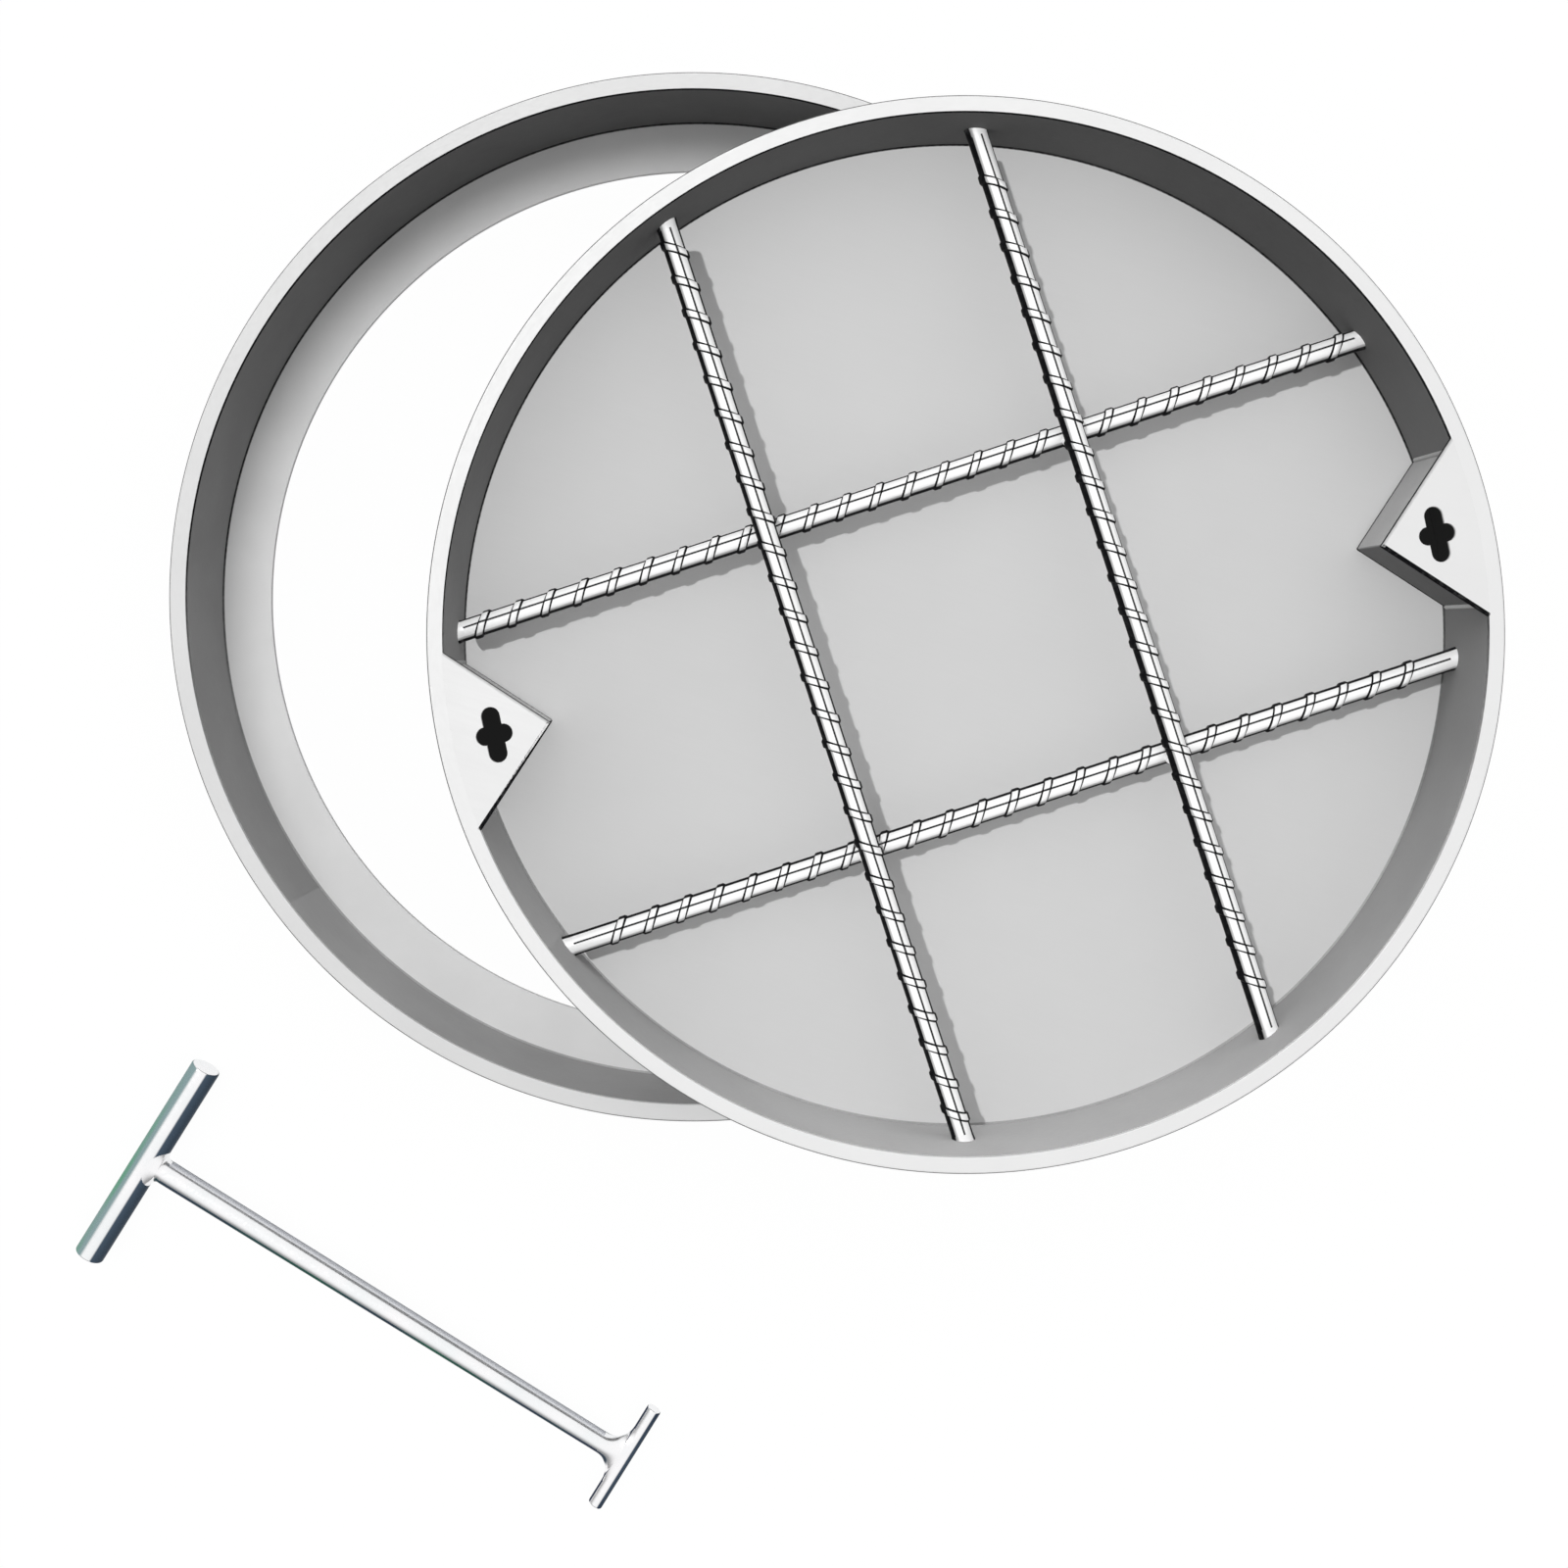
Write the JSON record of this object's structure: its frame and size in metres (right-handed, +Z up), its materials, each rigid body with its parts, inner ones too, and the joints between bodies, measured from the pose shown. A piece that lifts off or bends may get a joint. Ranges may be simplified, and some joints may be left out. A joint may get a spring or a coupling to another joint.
{
  "type": "recessed manhole cover",
  "caption": "Round recessed manhole cover: a seat frame, a tray cover with reinforcing bars and two keyhole pockets, and a T-handled lifting key lying beside them.",
  "frame": {"origin": "on the frame's axis, at the underside of its seat ledge", "axes": "+Z up, out of the ground; +X from the frame towards the side that the cover lies on; +Y away from the lifting key"},
  "size_m": [0.9484, 0.9935, 0.1563],
  "materials": {
    "wall_steel": "rolled stainless sheet, satin, darker towards the top",
    "edge_steel": "ground stainless edge, pale satin",
    "tray_steel": "flat stainless plate, fine matt finish",
    "rebar_steel": "bright ribbed bar",
    "weld_steel": "brushed weld bead",
    "bright_zinc": "bright zinc plate with soft blue and green reflections"
  },
  "bodies": {
    "frame": {"frame_wall": "wall_steel", "frame_top_edge": "edge_steel", "frame_ledge": "wall_steel", "frame_foot_weld": "weld_steel", "frame_seam_weld": "weld_steel"},
    "cover": {"cover_base_plate": "tray_steel", "cover_wall": "wall_steel", "cover_top_edge": "edge_steel", "cover_foot_weld": "weld_steel", "cover_seam_weld": "weld_steel", "left_pocket_wall": "wall_steel", "right_pocket_wall": "wall_steel", "left_key_plate": "edge_steel", "right_key_plate": "edge_steel", "left_pocket_welds": "weld_steel", "right_pocket_welds": "weld_steel", "upper_bar_left": "rebar_steel", "upper_bar_right": "rebar_steel", "lower_bar_front": "rebar_steel", "lower_bar_rear": "rebar_steel", "upper_bar_rear_welds": "weld_steel", "upper_bar_front_welds": "weld_steel", "lower_bar_left_welds": "weld_steel", "lower_bar_right_welds": "weld_steel", "bar_crossing_welds": "weld_steel"},
    "key": {"key_handle": "bright_zinc", "key_shank": "bright_zinc", "key_tip_bar": "bright_zinc", "key_handle_weld": "bright_zinc", "key_tip_weld": "bright_zinc"}
  },
  "joints": [
    {"name": "cover_lift", "type": "slide", "parent": "frame", "child": "cover", "axis": [0, 0, 1], "range_m": [0, 0.3]},
    {"name": "key_lift", "type": "slide", "parent": "frame", "child": "key", "axis": [0, 0, 1], "range_m": [0, 0.25]}
  ]
}
